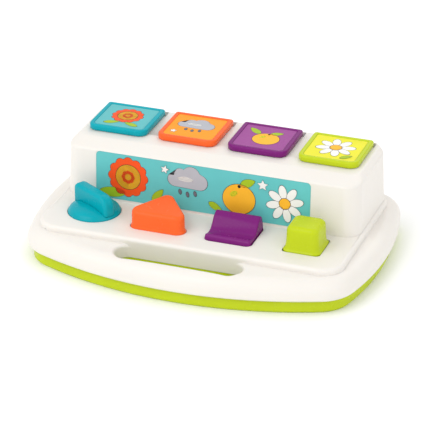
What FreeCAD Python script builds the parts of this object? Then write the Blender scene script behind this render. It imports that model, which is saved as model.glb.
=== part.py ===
import FreeCAD, Part
import math
import os

# Pop up animal toy: a low base with a grip bar, four controls on a deck, and a console
# whose four lids spring up with a figure behind each of them.
# Millimetres. X runs along the row of lids, Y from the front edge to the back, Z up.
# The origin is under the middle of the base, on the surface that the toy stands on.

os.makedirs("parts", exist_ok=True)

# Lids
lid_pitch = 70.0
lid_width = 59.0
lid_depth = 57.0
lid_thickness = 5.8
lid_lift = 0.5
lid_front_corner = 9.0
lid_back_corner = 3.0
lid_edge_round = 1.6
lid_rim = 4.6
lid_recess = 1.1
picture_thickness = 0.4

# Plan of the base, from the front edge to the back edge
grip_bar = 10.7
slot_width = 24.6
slot_length = 124.0
deck_depth = 69.2
lid_setback = 31.5
back_ledge = 12.0
apron_back = 19.0
base_depth = grip_bar + slot_width + deck_depth + lid_setback + lid_depth + back_ledge + apron_back

# Plan of the base, from the middle to the side
lid_side_margin = 9.9
console_draft = 1.6
deck_ledge = 3.0
apron_side = 15.2
front_arc = 350.0
side_arc = 320.0
front_corner = 34.0
back_corner = 30.0
widest_behind_console_front = 20.5

# Heights
band_height = 13.5
apron_height = 20.0
deck_step = 5.9
console_rise = 54.6
shoulder_rise = 4.6

# Mouldings
wall = 2.5
shell_overhang = 5.0
apron_round = 13.0
apron_lip_round = 3.0
deck_round = 3.5
deck_corner = 21.0
console_corner = 15.0
console_root = 6.0
crown_wall = 1.5
shoulder_round = 3.0
shoulder_front = 18.5
shoulder_side = 5.5
shoulder_back = 1.5
rim_round = 3.0
floor_thickness = 2.5
collar_height = 20.0
collar_gap = 0.3
foot_recess = 0.8
foot_width = 5.0

# Front label
label_width = 213.0
label_height = 46.5
label_corner = 4.0
label_offset = -7.0
label_thickness = 0.3
label_recess = 0.35
label_above_deck = 2.2

# Compartments and lid hinges
bay_side_margin = 3.5
bay_wall = 2.0
bay_front = 10.5
bay_depth = 30.0
bay_floor = 2.0
heel_margin = 0.8
heel_start = 1.25
heel_depth = 11.0
hinge_from_lid_back = 5.2
hinge_below_top = 4.0
hinge_pin_radius = 1.0
pin_clearance = 0.06
ear_thickness = 2.6
ear_radius = 3.6
ear_gap = 0.6
swing_clearance = 0.7

# Catches
hook_width = 8.0
hook_thickness = 2.2
hook_step = 2.6
hook_height = 2.6
hook_drop = 9.0
hook_from_lid_front = 5.8
hook_side_gap = 0.5
hook_swing_gap = 0.8
catch_clearance = 0.55
catch_gap = 0.35
shaft_radius = 2.0
shaft_height = 56.0
shaft_behind_wall = 16.0
lever_width = 9.0
lever_thickness = 4.0
lever_hub = 4.6
nose_height = 1.5
lever_foot_height = 26.0
lever_foot_radius = 2.5
lever_foot_forward = 4.0
lever_swing = 4.7

# Controls
control_from_console = 27.0
hole_gap = 0.5
key_hole_gap = 1.0
sleeve_wall = 2.0
sleeve_depth = 10.0
button_travel = 5.0
key_travel = 7.5
dial_travel = 45.0
push_gap = 0.45
key_push_gap = 0.8
arm_width = 8.0
arm_drop = 17.0
arm_thickness = 6.0
dial_radius = 25.1
dial_shift = 1.4
dial_sink = 6.0
dial_floor = 2.0
dial_edge = 1.2
dial_crown = 7.0
dial_stem = 5.0
dial_fin_height = 22.5
dial_fin_heel = 5.0
dial_fin_nose = 11.0
dial_fin_fall = 1.0
dial_fin_bevel = 2.4
dial_fin_thickness = 11.0
dial_fin_turn = -33.0
cam_thickness = 5.0
triangle_width = 54.0
triangle_depth = 40.0
triangle_corner = 8.5
triangle_shift = -1.5
triangle_bevel = 1.8
triangle_front_rise = 16.5
triangle_back_rise = 22.0
key_width = 44.5
key_depth = 41.0
key_corner = 5.0
key_lip_rise = 4.6
key_ridge_rise = 15.5
key_pin_radius = 1.5
key_pin_drop = 6.5
key_pin_from_back = 5.0
cube_foot = 36.0
cube_side = 31.5
cube_corner = 4.0
cube_round = 5.0
cube_edge = 2.4
cube_foot_rise = 2.2
cube_rise = 24.0
control_kinds = ["dial", "triangle", "key", "cube"]

# Bearings, bosses and screws
bearing_thickness = 4.0
bearing_reach = 5.0
shaft_overhang = 16.0
boss_radius = 4.0
boss_gap = 1.0
boss_inset = 12.0
boss_front_inset = 9.0
boss_rear_inset = 5.0
screw_radius = 1.5
screw_head = 3.0
head_height = 2.2
head_sink = 6.5
screw_tip = 26.0
base_edge_round = 2.0
spring_seat = 3.0
seat_height = 3.0
spring_wire = 0.45
spring_turns = 4
spring_steps = 8
spring_hollow = 4.0
spring_foot_gap = 0.6

# Pop-up figures
figure_depth = 14.0
figure_round = 3.0
figure_from_hinge = 7.0
figure_width = 26.0
figure_neck = 3.0
figure_chest = 2.0
figure_shoulder_round = 8.0
figure_head_radius = 11.5
figure_brow = 1.8
rabbit_head_radius = 9.5
rabbit_ear_length = 8.5
rabbit_ear_spread = 5.2
rabbit_ear_width = 6.4
cat_ear_spread = 7.5
cat_ear_width = 10.0
cat_ear_foot = 4.0
mouse_ear_spread = 10.0
mouse_ear_radius = 6.4
frog_eye_spread = 8.0
frog_eye_radius = 4.4
muzzle_radius = 4.5
muzzle_rise = 1.5
ear_depth = 7.0

console_side_margin = lid_side_margin + console_draft
base_half = 1.5 * lid_pitch + lid_width / 2 + console_side_margin + deck_ledge + apron_side

# Levels worked out from the heights
apron_top = band_height + apron_height
deck_top = apron_top + deck_step
console_top = deck_top + console_rise
shoulder_foot = console_top - shoulder_rise
lid_bottom = console_top + lid_lift
lid_top = lid_bottom + lid_thickness

# Places worked out from the plan
front_edge = -base_depth / 2
back_edge = base_depth / 2
slot_front = front_edge + grip_bar
deck_front = slot_front + slot_width
console_front = deck_front + deck_depth
lid_front = console_front + lid_setback
lid_back = lid_front + lid_depth
console_back = lid_back + back_ledge
control_row = console_front - control_from_console
deck_half = base_half - apron_side
console_half = deck_half - deck_ledge
shaft_y = console_front + wall + shaft_behind_wall
hinge_y = lid_back - hinge_from_lid_back
hinge_z = console_top - hinge_below_top
columns = [(i - 1.5) * lid_pitch for i in range(4)]
dial_y = control_row + dial_shift
key_pin_y = control_row + key_depth / 2 - key_pin_from_back
foot_y = shaft_y - lever_foot_forward
figure_top = lid_front + bay_front + 1.9
key_pin_z = deck_top - key_pin_drop
cam_top = lever_foot_height + cam_thickness / 2 + 0.5


def vec(x, y, z=0.0):
    return FreeCAD.Vector(x, y, z)


def box(x0, x1, y0, y1, z0, z1):
    return Part.makeBox(x1 - x0, y1 - y0, z1 - z0, vec(x0, y0, z0))


def rod(radius, start, end):
    run = end - start
    return Part.makeCylinder(radius, run.Length, start, run)


def prism(wire, height):
    return Part.Face(wire).extrude(vec(0, 0, height))


def arc_between(centre, radius, start, end, z):
    """Arc about a centre from one polar angle to another, in degrees."""
    points = []
    for angle in (start, (start + end) / 2, end):
        turn = math.radians(angle)
        points.append(vec(centre[0] + radius * math.cos(turn), centre[1] + radius * math.sin(turn), z))
    return Part.Arc(*points).toShape()


def rounded_rectangle(x0, x1, y0, y1, front_radius, back_radius, z):
    """Closed outline with its own corner radius at the front and at the back."""
    corners = [
        (x1 - front_radius, y0 + front_radius, front_radius, -90),
        (x1 - back_radius, y1 - back_radius, back_radius, 0),
        (x0 + back_radius, y1 - back_radius, back_radius, 90),
        (x0 + front_radius, y0 + front_radius, front_radius, 180),
    ]
    arcs = [arc_between((x, y), radius, start, start + 90, z) for x, y, radius, start in corners]
    edges = []
    for i, arc in enumerate(arcs):
        following = arcs[(i + 1) % 4]
        edges.append(arc)
        edges.append(Part.makeLine(arc.valueAt(arc.LastParameter),
                                   following.valueAt(following.FirstParameter)))
    return Part.Wire(edges)


def circles_meet(first, first_radius, second, second_radius, side):
    """Crossing point of two circles, on the given side of the line from first to second."""
    dx = second[0] - first[0]
    dy = second[1] - first[1]
    distance = math.hypot(dx, dy)
    along = (distance ** 2 + first_radius ** 2 - second_radius ** 2) / (2 * distance)
    across = math.sqrt(first_radius ** 2 - along ** 2)
    return (
        first[0] + (along * dx - side * across * dy) / distance,
        first[1] + (along * dy + side * across * dx) / distance,
    )


def bearing(start, end):
    return math.degrees(math.atan2(end[1] - start[1], end[0] - start[0]))


def base_outline(offset, z):
    """Plan of the toy: a bowed front, bowed sides and rounded corners, moved out by an offset."""
    front_centre = (0.0, front_edge + front_arc)
    side_centre = (base_half - side_arc, console_front + widest_behind_console_front)
    front_fillet = circles_meet(front_centre, front_arc - front_corner, side_centre,
                                side_arc - front_corner, 1)
    reach = side_arc - back_corner
    rise = back_edge - back_corner - side_centre[1]
    back_fillet = (side_centre[0] + math.sqrt(reach ** 2 - rise ** 2), back_edge - back_corner)
    front_turn = bearing(front_centre, front_fillet)
    side_turn = bearing(side_centre, front_fillet)
    rear_turn = bearing(side_centre, back_fillet)
    right = [
        arc_between(front_fillet, front_corner + offset, front_turn, side_turn, z),
        arc_between(side_centre, side_arc + offset, side_turn, rear_turn, z),
        arc_between(back_fillet, back_corner + offset, rear_turn, 90, z),
    ]
    mirror = [edge.mirror(vec(0, 0, 0), vec(1, 0, 0)) for edge in right]
    front = arc_between(front_centre, front_arc + offset, -180 - front_turn, front_turn, z)
    back = Part.makeLine(vec(back_fillet[0], back_edge + offset, z),
                         vec(-back_fillet[0], back_edge + offset, z))
    return Part.Wire(Part.sortEdges([front] + right + [back] + mirror)[0])


def slot_outline(offset, z):
    radius = slot_width / 2 + offset
    reach = slot_length / 2 - slot_width / 2
    middle = slot_front + slot_width / 2
    x = reach + radius
    return rounded_rectangle(-x, x, middle - radius, middle + radius, radius - 0.001, radius - 0.001, z)


def console_outline(height):
    """Plan of the console at a height: walls lean in by the draft, and step in above the shoulder."""
    front = side = back = 0.0
    corner = console_corner
    if height > deck_top:
        front = console_draft * 1.5
        side = back = console_draft
    if height > shoulder_foot:
        front += shoulder_front
        side += shoulder_side
        back += shoulder_back
        corner -= shoulder_side
    x = console_half - side
    return rounded_rectangle(-x, x, console_front + front, console_back - back, corner, corner, height)


def edges_where(shape, test):
    return [edge for edge in shape.Edges if test(edge)]


def flat_at(edge, z, tolerance=0.05):
    ends = edge.BoundBox
    return abs(ends.ZMin - z) < tolerance and abs(ends.ZMax - z) < tolerance


def apron_form(inset):
    """Convex apron: the plan drawn up to its top, with a wide rounding above and a small one below."""
    offset = shell_overhang - inset
    body = prism(base_outline(offset, band_height), apron_height - inset)
    top = edges_where(body, lambda e: flat_at(e, apron_top - inset))
    if inset == 0:
        body = body.makeFillet(apron_round, top)
    else:
        body = body.makeChamfer(apron_round * 0.55, top)
    if inset == 0:
        low = edges_where(body, lambda e: flat_at(e, band_height))
        body = body.makeChamfer(apron_lip_round * 0.6, low)
    return body


def deck_form(inset):
    """Raised deck that carries the controls and the console."""
    low = collar_height + collar_gap
    outline = rounded_rectangle(
        -deck_half + inset,
        deck_half - inset,
        deck_front + inset,
        console_back + deck_ledge - inset,
        deck_corner - inset,
        console_corner + deck_ledge - inset,
        low,
    )
    body = prism(outline, deck_top - inset - low)
    top = edges_where(body, lambda e: flat_at(e, deck_top - inset))
    if inset > 0:
        return body
    return body.makeFillet(deck_round, top)


def rectangle(x, y0, y1, z):
    """Corner points of a rectangle that is centred on the toy's middle."""
    return [vec(-x, y0, z), vec(x, y0, z), vec(x, y1, z), vec(-x, y1, z)]


def frustum(low, high):
    """Solid with flat faces between two rectangles, one above the other."""
    faces = [Part.Face(Part.makePolygon(ring + ring[:1])) for ring in (low, high)]
    for i in range(4):
        after = (i + 1) % 4
        side = [low[i], low[after], high[after], high[i], low[i]]
        faces.append(Part.Face(Part.makePolygon(side)))
    return Part.Solid(Part.Shell(faces))


def console_form():
    """Console with leaning walls, rounded corners and a shoulder below its crown."""
    low = console_outline(deck_top)
    low.translate(vec(0, 0, -console_root))
    waist = console_outline(shoulder_foot)
    crown = console_outline(console_top)
    body = Part.makeLoft([low, waist], True, True).fuse(Part.makeLoft([waist, crown], True, True))
    return body.removeSplitter()


def console_space(inset):
    """Space inside the console: its walls follow the outer ones, its corners are cut off straight."""
    x = console_half - inset
    lean = console_draft
    low = rectangle(x, console_front + inset, console_back - inset, deck_top - console_root)
    waist = rectangle(x - lean, console_front + 1.5 * lean + inset, console_back - lean - inset,
                      shoulder_foot - inset / 2)
    crown_inset = inset + crown_wall
    crown = rectangle(x - lean - shoulder_side - crown_wall,
                      console_front + 1.5 * lean + shoulder_front + crown_inset,
                      console_back - lean - shoulder_back - inset, console_top - inset)
    space = frustum(low, waist).fuse(frustum(waist, crown))
    cut = 0.8 * console_corner
    y0 = console_front + inset
    y1 = console_back - inset
    corners = [(cut - x, y0), (x - cut, y0), (x, y0 + cut), (x, y1 - cut), (x - cut, y1),
               (cut - x, y1), (-x, y1 - cut), (-x, y0 + cut)]
    points = [vec(px, py, deck_top - console_root) for px, py in corners]
    return space.common(prism(Part.makePolygon(points + points[:1]), console_rise + console_root))


def bay_box(column, grow, low, high):
    """Space of one compartment under its lid, grown sideways by a wall."""
    half = lid_width / 2 - bay_side_margin + grow
    front = lid_front + bay_front - grow
    back = hinge_y + math.hypot(lid_top - hinge_z, hinge_from_lid_back) + swing_clearance + grow
    return box(column - half, column + half, front, back, low, high)


def heel_box(column, grow, low, high):
    """Wider back of a compartment, where the lid's back edge dips as it opens."""
    half = lid_width / 2 + heel_margin + grow
    front = hinge_y + heel_start
    back = hinge_y + math.hypot(lid_top - hinge_z, hinge_from_lid_back) + swing_clearance + grow
    return box(column - half, column + half, front - grow, back, low, high)


def hook_place(column):
    """Front and back of the lid's hook, and the middle of its width."""
    front = lid_front + hook_from_lid_front
    return column, front, front + hook_thickness


def gap_of(kind):
    return key_hole_gap if kind == "key" else hole_gap


def control_outline(kind, column, offset, z):
    """Plan of each control at deck level; the hole in the deck is the same plan, wider by the gap."""
    if kind == "dial":
        return Part.Wire(Part.makeCircle(dial_radius + offset, vec(column, control_row + dial_shift, z)))
    if kind == "triangle":
        front = control_row - triangle_depth / 2 + triangle_shift
        radius = triangle_corner + offset
        x = triangle_width / 2 - triangle_corner
        y = front + triangle_corner
        tip = front + triangle_depth - triangle_corner
        slope = bearing((x, y), (0, tip)) - 90
        right = arc_between((column + x, y), radius, -90, slope, z)
        top = arc_between((column, tip), radius, slope, 180 - slope, z)
        left = arc_between((column - x, y), radius, 180 - slope, 270, z)
        parts = [right, None, top, None, left, None]
        for i in (1, 3, 5):
            after = parts[(i + 1) % 6]
            before = parts[i - 1]
            parts[i] = Part.makeLine(before.valueAt(before.LastParameter),
                                     after.valueAt(after.FirstParameter))
        return Part.Wire(parts)
    width, depth, corner = cube_foot, cube_foot, cube_corner
    if kind == "key":
        width, depth, corner = key_width, key_depth, key_corner
    return rounded_rectangle(
        column - width / 2 - offset,
        column + width / 2 + offset,
        control_row - depth / 2 - offset,
        control_row + depth / 2 + offset,
        corner + offset,
        corner + offset,
        z,
    )


def top_housing():
    """White moulding: apron with its grip slot, deck with the control holes, console with four
    lid compartments."""
    apron = apron_form(0).cut(prism(slot_outline(0, band_height - 1), apron_height + 2))
    rim = edges_where(apron, lambda e: flat_at(e, apron_top) and slot_front - 1 < e.BoundBox.YMin
                      and e.BoundBox.YMax < deck_front + 1)
    apron = apron.makeFillet(rim_round, rim)
    outer = apron.fuse([deck_form(0), console_form()]).removeSplitter()
    outer = outer.makeFillet(shoulder_round, edges_where(outer, shoulder_edge))
    skirt = prism(slot_outline(wall, collar_height + collar_gap), apron_height)
    apron_space = apron_form(wall).cut(skirt)
    deck_space = deck_form(wall)
    space = apron_space.fuse([deck_space.cut(skirt), console_space(wall)])
    shell = outer.cut(space)
    inner = []
    for column in columns:
        inner.append(bay_box(column, bay_wall, console_top - bay_depth - bay_floor, console_top - 1))
        inner.append(heel_box(column, bay_wall, console_top - heel_depth - bay_floor, console_top - 1))
    reach = console_space(wall / 2)
    added = [piece.common(reach) for piece in inner + shaft_bearings()]
    for kind, column in zip(control_kinds, columns):
        if kind != "dial":
            added.append(prism(control_outline(kind, column, gap_of(kind) + sleeve_wall,
                                               deck_top - sleeve_depth),
                               sleeve_depth - wall / 2))
    added += screw_bosses(band_height + boss_gap) + [dial_bearing()]
    shell = shell.fuse(added)
    cuts = []
    for column in columns:
        cuts.append(bay_box(column, 0, console_top - bay_depth, console_top + 1))
        cuts.append(heel_box(column, 0, console_top - heel_depth, console_top + 1))
        x, front, back = hook_place(column)
        cuts.append(box(x - hook_width / 2 - hook_side_gap, x + hook_width / 2 + hook_side_gap,
                        front - hook_step - hook_swing_gap, lid_front + bay_front - bay_wall,
                        console_top - 2 * wall, console_top + 1))
        reach = lid_width / 2 - bay_side_margin + bay_wall + 1
        cuts.append(rod(hinge_pin_radius + pin_clearance / 2, vec(column - reach, hinge_y, hinge_z),
                        vec(column + reach, hinge_y, hinge_z)))
    for kind, column in zip(control_kinds, columns):
        depth = dial_sink if kind == "dial" else sleeve_depth + 1
        cuts.append(prism(control_outline(kind, column, gap_of(kind), deck_top - depth), depth + 1))
    cuts += shaft_bores() + screw_holes() + [label_pocket(), dial_bore()] + key_pin_bores()
    return shell.cut(cuts).removeSplitter()


def shoulder_edge(edge):
    """Edges of the console's crown and waist, and its corners above the deck."""
    return flat_at(edge, console_top) or flat_at(edge, shoulder_foot)


def shaft_bearings():
    """Hanging webs that carry the catch shaft, between the levers."""
    webs = []
    top = console_top - wall / 2
    outer = 1.5 * lid_pitch + shaft_overhang - bearing_thickness / 2
    for x in (-outer, -lid_pitch, 0, lid_pitch, outer):
        webs.append(box(x - bearing_thickness / 2, x + bearing_thickness / 2, console_front + wall / 2,
                        shaft_y + bearing_reach, shaft_height - bearing_reach, top))
    return webs


def shaft_bores():
    end = 1.5 * lid_pitch + shaft_overhang
    bore = rod(shaft_radius + pin_clearance / 2, vec(-end - 1, shaft_y, shaft_height),
               vec(end + 1, shaft_y, shaft_height))
    return [bore]


def boss_places():
    """Middle of each screw boss: along both sides, behind the console and beside the grip slot."""
    side = deck_half - boss_inset
    rear = console_back + deck_ledge - boss_rear_inset
    front = deck_front + boss_front_inset
    middle = lid_pitch
    return [(-side, rear), (side, rear), (-side, front), (side, front), (-middle, rear), (middle, rear)]


def screw_bosses(low):
    posts = []
    for x, y in boss_places():
        posts.append(rod(boss_radius, vec(x, y, low), vec(x, y, deck_top - wall / 2)))
    return posts


def screw_holes():
    holes = []
    for x, y in boss_places():
        holes.append(rod(screw_radius + 0.05, vec(x, y, band_height - 1), vec(x, y, screw_tip + 1.5)))
    return holes


def label_outline(grow, depth):
    """Label plan on the console's leaning front wall, as a thin slab sunk from the wall's face."""
    low = deck_top + label_above_deck - grow
    high = deck_top + label_above_deck + label_height + grow
    x0 = label_offset - label_width / 2 - grow
    x1 = label_offset + label_width / 2 + grow
    radius = label_corner + grow
    flat = rounded_rectangle(x0, x1, low, high, radius, radius, 0)
    flat.rotate(vec(0, 0, 0), vec(1, 0, 0), 90)
    lean = math.degrees(math.atan2(console_draft * 1.5, shoulder_foot - deck_top))
    flat.rotate(vec(0, 0, deck_top), vec(1, 0, 0), -lean)
    flat.translate(vec(0, console_front, 0))
    turn = math.radians(lean)
    inward = vec(0, math.cos(turn), -math.sin(turn))
    flat.translate(inward * -0.2 if depth > label_thickness else inward * (label_recess - label_thickness))
    return Part.Face(flat).extrude(inward * (depth + 0.2 if depth > label_thickness else depth))


def label_pocket():
    return label_outline(0.15, label_recess)


def front_label():
    """Printed label in its shallow recess on the console's front wall."""
    return label_outline(0, label_thickness)


def base_plate():
    """Lime tray: band round the edge, floor, collar round the grip slot, screw posts and spring seats."""
    tray = prism(base_outline(0, 0), band_height)
    low = edges_where(tray, lambda e: flat_at(e, 0))
    tray = tray.makeChamfer(base_edge_round, low)
    tray = tray.cut(prism(base_outline(-wall, floor_thickness), band_height))
    posts = [prism(slot_outline(wall, 0), collar_height)]
    for x, y in boss_places():
        posts.append(rod(boss_radius, vec(x, y, 0.5), vec(x, y, band_height + boss_gap - collar_gap)))
    for x, y in spring_places():
        posts.append(rod(spring_seat - spring_wire, vec(x, y, 1), vec(x, y, floor_thickness + seat_height)))
    tray = tray.fuse(posts)
    cuts = [prism(slot_outline(0, -1), collar_height + 2)]
    cuts.append(prism(base_outline(-foot_width, -1),
                      foot_recess + 1).cut(prism(slot_outline(foot_width, -2), foot_recess + 3)))
    for x, y in boss_places():
        cuts.append(rod(screw_head + 0.5, vec(x, y, -1), vec(x, y, head_sink)))
        cuts.append(rod(screw_radius + 0.3, vec(x, y, -1), vec(x, y, band_height + 3)))
    return tray.cut(cuts).removeSplitter()


def base_screws():
    """Self-tapping screws from below, shank up into the housing's bosses."""
    screws = []
    for x, y in boss_places():
        head = rod(screw_head, vec(x, y, head_sink - head_height), vec(x, y, head_sink))
        drive = box(x - 2.0, x + 2.0, y - 0.45, y + 0.45, head_sink - head_height - 1,
                    head_sink - head_height + 1.0)
        cross = box(x - 0.45, x + 0.45, y - 2.0, y + 2.0, head_sink - head_height - 1,
                    head_sink - head_height + 1.0)
        shank = rod(screw_radius, vec(x, y, head_sink), vec(x, y, screw_tip))
        screws.append(head.fuse(shank).cut([drive, cross]).removeSplitter())
    return Part.makeCompound(screws)


def dial_bearing():
    low = deck_top - dial_sink - dial_floor
    radius = dial_radius + hole_gap + sleeve_wall
    return rod(radius, vec(columns[0], dial_y, low), vec(columns[0], dial_y, deck_top - wall / 2))


def dial_bore():
    low = deck_top - dial_sink - dial_floor - 1
    return rod(dial_stem + pin_clearance / 2, vec(columns[0], dial_y, low),
               vec(columns[0], dial_y, deck_top))


def key_pin_bores():
    reach = key_width / 2 + key_hole_gap + sleeve_wall
    ends = (vec(columns[2] - reach - 1, key_pin_y, key_pin_z),
            vec(columns[2] + reach + 1, key_pin_y, key_pin_z))
    return [rod(key_pin_radius + pin_clearance / 2, *ends)]


def spring_places():
    return [(columns[1], control_row), (columns[3], control_row)]


def side_profile(points, x0, x1):
    """Solid drawn from a profile in the Y-Z plane, from one X to another."""
    corners = [vec(x0, y, z) for y, z in points]
    return Part.Face(Part.makePolygon(corners + corners[:1])).extrude(vec(x1 - x0, 0, 0))


def catch_lever(column):
    """Catch: hub on the shaft, foot that a control pushes back, nose in front of the lid's hook."""
    x0 = column - lever_width / 2
    x1 = column + lever_width / 2
    step_top = lid_bottom - hook_drop + hook_height
    tip = lid_front + hook_from_lid_front - hook_step - catch_clearance
    half = lever_thickness / 2
    nose = step_top + catch_gap
    arm = side_profile([
        (shaft_y - half, shaft_height), (shaft_y + half, shaft_height), (tip - 2 * half, nose - 2),
        (tip, nose), (tip, nose + nose_height), (tip - 3 * half, nose + nose_height),
    ], x0, x1)
    leg = box(x0, x1, shaft_y - half, shaft_y + half, lever_foot_height, shaft_height)
    foot = rod(lever_foot_radius, vec(x0, foot_y, lever_foot_height), vec(x1, foot_y, lever_foot_height))
    sole = box(x0, x1, foot_y, shaft_y + half, lever_foot_height - lever_foot_radius,
               lever_foot_height + 1.0)
    hub = rod(lever_hub, vec(x0, shaft_y, shaft_height), vec(x1, shaft_y, shaft_height))
    bore = rod(shaft_radius + pin_clearance, vec(x0 - 1, shaft_y, shaft_height),
               vec(x1 + 1, shaft_y, shaft_height))
    return arm.fuse([leg, foot, sole, hub]).cut(bore).removeSplitter()


def catch_shaft():
    end = 1.5 * lid_pitch + shaft_overhang
    return rod(shaft_radius, vec(-end, shaft_y, shaft_height), vec(end, shaft_y, shaft_height))


def lid_hinge_pins():
    reach = lid_width / 2 - bay_side_margin + bay_wall
    pins = [rod(hinge_pin_radius, vec(x - reach, hinge_y, hinge_z),
                vec(x + reach, hinge_y, hinge_z)) for x in columns]
    return Part.makeCompound(pins)


def lid_outline(column, inset, z):
    return rounded_rectangle(column - lid_width / 2 + inset, column + lid_width / 2 - inset,
                             lid_front + inset, lid_back - inset, lid_front_corner - inset,
                             max(lid_back_corner - inset, 1.5), z)


def lid(column):
    """Rimmed lid with two hinge ears at the back and a hook near the front edge."""
    body = prism(lid_outline(column, 0, lid_bottom), lid_thickness)
    body = body.makeChamfer(lid_edge_round, edges_where(body, lambda e: flat_at(e, lid_top)))
    body = body.cut(prism(lid_outline(column, lid_rim, lid_top - lid_recess), lid_recess + 1))
    ear_out = lid_width / 2 - bay_side_margin - ear_gap
    added = []
    for x in (column - ear_out, column + ear_out - ear_thickness):
        hub = rod(ear_radius, vec(x, hinge_y, hinge_z), vec(x + ear_thickness, hinge_y, hinge_z))
        web = box(x, x + ear_thickness, hinge_y - ear_radius, hinge_y + ear_radius, hinge_z, lid_bottom + 1)
        added += [hub, web]
    x, front, back = hook_place(column)
    low = lid_bottom - hook_drop
    added.append(box(x - hook_width / 2, x + hook_width / 2, front, back, low, lid_bottom + 1))
    added.append(box(x - hook_width / 2, x + hook_width / 2, front - hook_step, back, low,
                     low + hook_height))
    reach = lid_width
    bore = rod(hinge_pin_radius + pin_clearance, vec(column - reach, hinge_y, hinge_z),
               vec(column + reach, hinge_y, hinge_z))
    return body.fuse(added).cut(bore).removeSplitter()


def lid_picture(column):
    """Printed card in the lid's recess."""
    return prism(lid_outline(column, lid_rim + 0.15, lid_top - lid_recess), picture_thickness)


def ear_shapes(kind, column, middle, low):
    """Ears or eyes of each figure; its head points to the front while the lid is shut."""
    top = figure_top
    high = lid_bottom
    shapes = []
    for sign in (-1, 1):
        if kind == "cat":
            x = column + sign * cat_ear_spread
            half = cat_ear_width / 2
            points = [vec(x - half, middle - cat_ear_foot, low), vec(x + half, middle - cat_ear_foot, low),
                      vec(x + sign * half / 2, top, low)]
            shapes.append(prism(Part.makePolygon(points + points[:1]), high - low))
        elif kind == "rabbit":
            x = column + sign * rabbit_ear_spread
            half = rabbit_ear_width / 2
            outline = rounded_rectangle(x - half, x + half, top, middle, 0.97 * half, half / 3, low)
            shapes.append(prism(outline, high - low))
        elif kind == "mouse":
            x = column + sign * mouse_ear_spread
            y = top + mouse_ear_radius
            shapes.append(rod(mouse_ear_radius, vec(x, y, low), vec(x, y, high)))
        else:
            x = column + sign * frog_eye_spread
            y = top + frog_eye_radius
            shapes.append(rod(frog_eye_radius, vec(x, y, low), vec(x, y, high)))
    return shapes


def figure(kind, column):
    """Plain animal figure that hangs face down under the lid: body, head, ears and muzzle."""
    feet = hinge_y - figure_from_hinge
    radius = figure_head_radius
    middle = figure_top + radius + figure_brow
    if kind == "rabbit":
        radius = rabbit_head_radius
        middle = figure_top + radius + rabbit_ear_length
    low = lid_bottom - figure_depth
    half = figure_width / 2
    body = prism(rounded_rectangle(column - half, column + half, middle + figure_neck, feet,
                                   figure_shoulder_round, figure_neck, low + figure_chest),
                 figure_depth - figure_chest)
    head = rod(radius, vec(column, middle, low), vec(column, middle, lid_bottom))
    head = head.makeChamfer(figure_round, edges_where(head, lambda e: flat_at(e, low)))
    y = middle + figure_neck
    muzzle = rod(muzzle_radius, vec(column, y, low - muzzle_rise), vec(column, y, low + muzzle_rise))
    ears = ear_shapes(kind, column, middle, lid_bottom - ear_depth)
    return head.fuse([body, muzzle] + ears).removeSplitter()


def slanted_arm(column, start, slope, low, high, plane_gap):
    """Push arm under the deck whose slanted end faces a lever's foot."""
    turn = math.atan(slope)
    face = foot_y - (lever_foot_radius + plane_gap) / math.cos(turn)
    points = [(start, low), (face + (low - lever_foot_height) * slope, low),
              (face + (high - lever_foot_height) * slope, high), (face - 9, high),
              (face - 9, low + arm_thickness), (start, low + arm_thickness)]
    return side_profile(points, column - arm_width / 2, column + arm_width / 2)


def lever_throw():
    return (shaft_height - lever_foot_height) * math.sin(math.radians(lever_swing))


def button_slope():
    return lever_throw() / button_travel


def push_button(kind, column, crown):
    """Hollow push button: flared foot in the deck hole, crown above it, push arm below."""
    skirt_low = deck_top - sleeve_depth + 1
    foot = prism(control_outline(kind, column, 0, skirt_low), sleeve_depth)
    low = deck_top - arm_drop
    post = rod(6.0, vec(column, control_row, low), vec(column, control_row, skirt_low + 4))
    high = lever_foot_height + button_travel + 1.5
    arm = slanted_arm(column, control_row, button_slope(), low, high, push_gap)
    seat = rod(spring_seat + 1.2, vec(column, control_row, low - 1),
               vec(column, control_row, low + spring_hollow))
    return foot.fuse([crown, post, arm]).cut(seat).removeSplitter()


def triangle_button(column):
    front = control_row - triangle_depth / 2 + triangle_shift
    tall = prism(control_outline("triangle", column, -1.0, deck_top - 1), triangle_back_rise + 12)
    slope = (triangle_back_rise - triangle_front_rise) / triangle_depth
    high = deck_top + triangle_front_rise
    cutter = side_profile([(front - 20, high - 20 * slope), (front + 80, high + 80 * slope),
                           (front + 80, high + 60), (front - 20, high + 60)], column - 60, column + 60)
    crown = tall.cut(cutter)
    rim = edges_where(crown,
                      lambda e: e.BoundBox.ZMin > deck_top + 6 and e.BoundBox.ZMax - e.BoundBox.ZMin < 8)
    crown = crown.makeChamfer(triangle_bevel, rim)
    return push_button("triangle", column, crown)


def cube_button(column):
    """Cube with rounded edges on a slightly wider foot, joined by a hollow rounding."""
    half = cube_side / 2
    high = deck_top + cube_rise
    foot_top = deck_top + cube_foot_rise
    outline = rounded_rectangle(column - half, column + half, control_row - half, control_row + half,
                                cube_round, cube_round, deck_top)
    crown = prism(outline, cube_rise)
    crown = crown.makeChamfer(cube_edge, edges_where(crown, lambda e: flat_at(e, high)))
    flare = prism(control_outline("cube", column, -0.6, foot_top - 1), 1)
    body = crown.fuse(flare).removeSplitter()
    return push_button("cube", column, body)


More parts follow.
